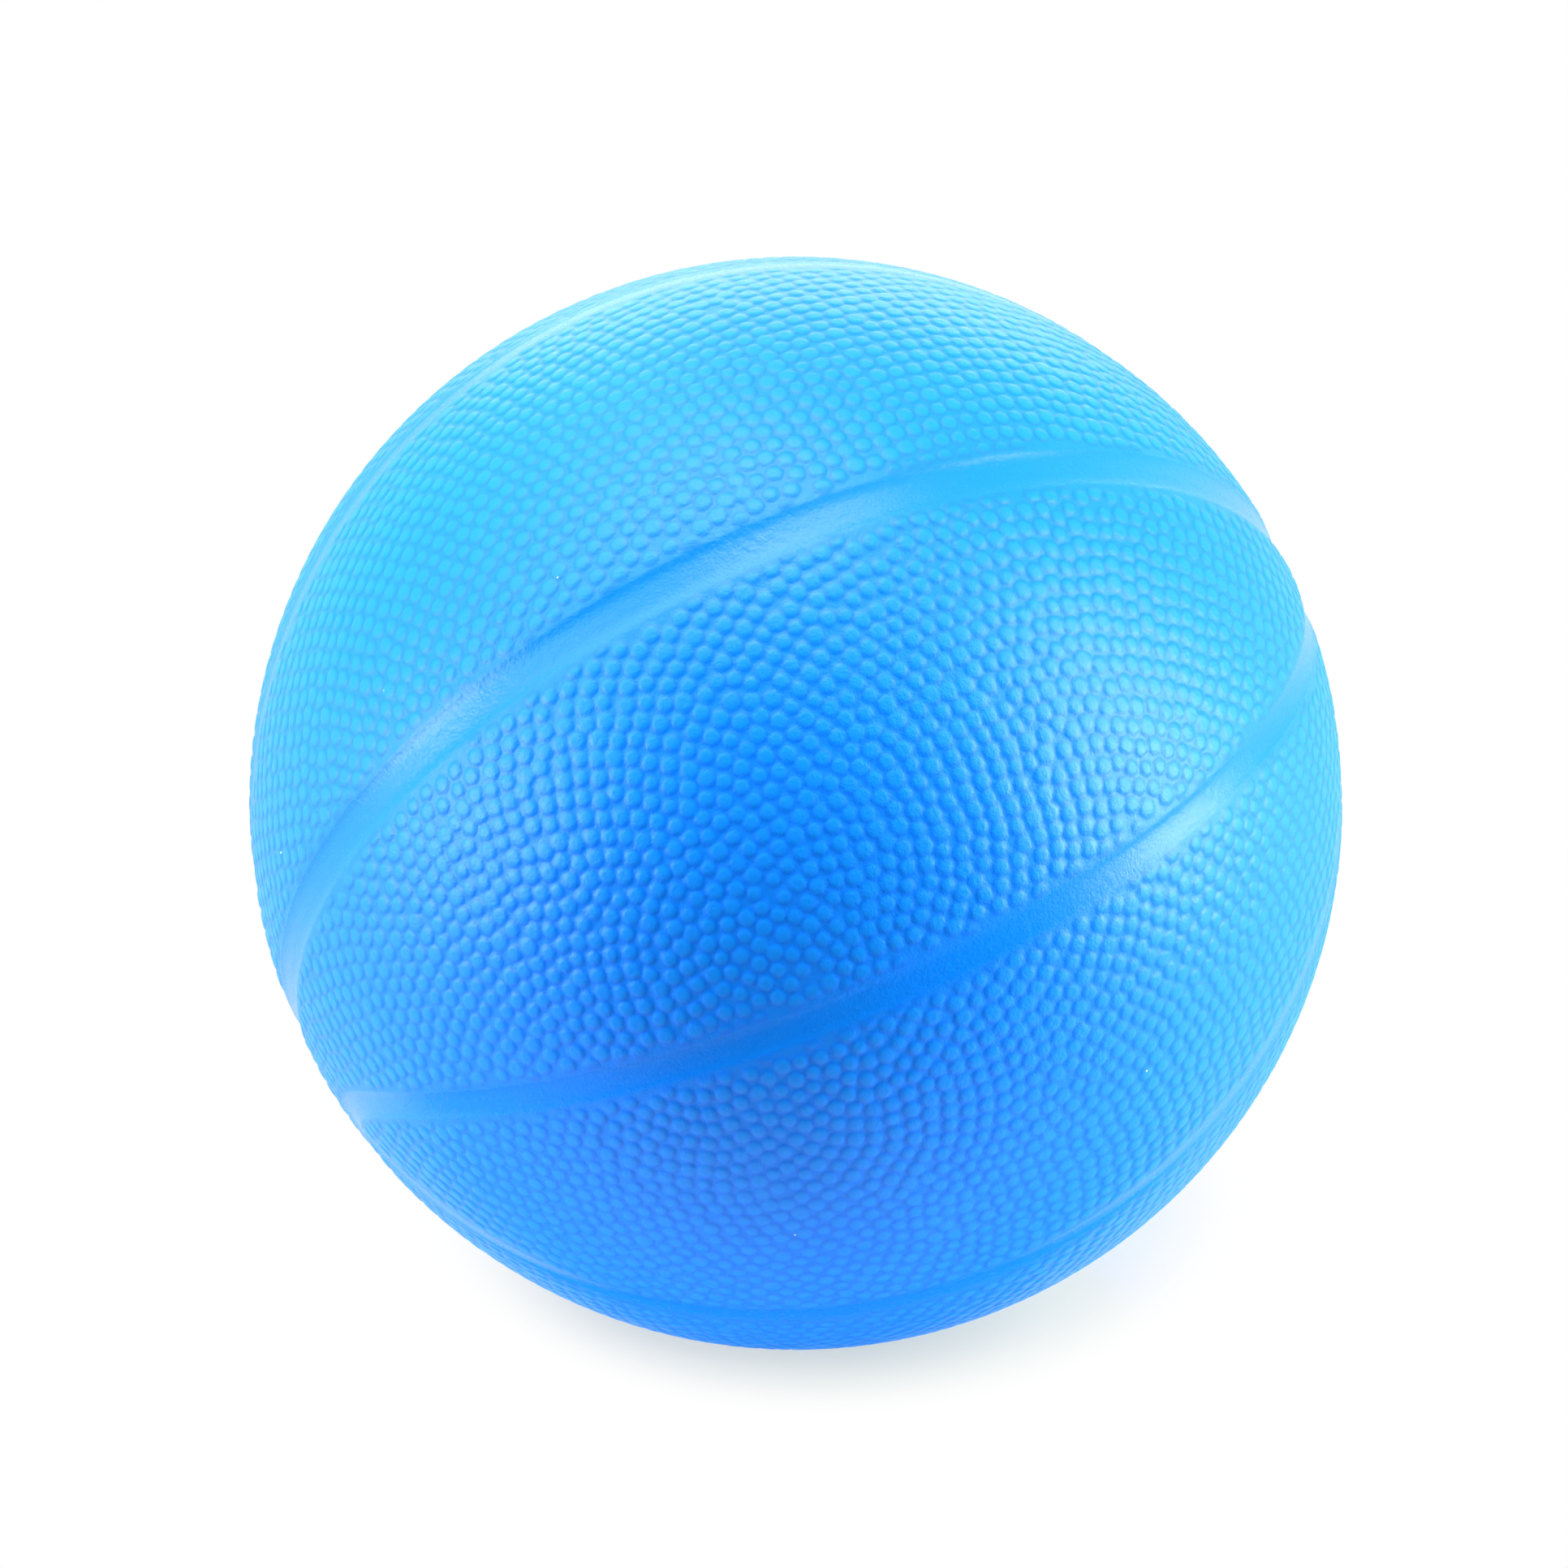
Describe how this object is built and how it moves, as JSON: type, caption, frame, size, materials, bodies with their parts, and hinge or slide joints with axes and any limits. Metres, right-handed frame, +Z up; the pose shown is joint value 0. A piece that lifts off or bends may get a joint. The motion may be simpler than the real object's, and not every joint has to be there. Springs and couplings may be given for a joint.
{
  "type": "toy basketball",
  "caption": "Hollow moulded vinyl toy basketball with pebbled panels, smooth sunk channels and a needle valve, of the kind thrown at a floating pool hoop.",
  "frame": {"origin": "centre of the ball", "axes": "+Z up as the ball lies, with -Z through the point it rests on; the valve points mostly along +X, turned a little towards +Y and +Z"},
  "size_m": [0.152, 0.152, 0.152],
  "materials": {
    "ball_vinyl": "satin",
    "seat_rubber": "satin",
    "plug_rubber": "matte"
  },
  "bodies": {
    "root": {"ball_shell": "ball_vinyl", "valve_seat": "seat_rubber", "valve_plug": "plug_rubber"}
  },
  "joints": []
}
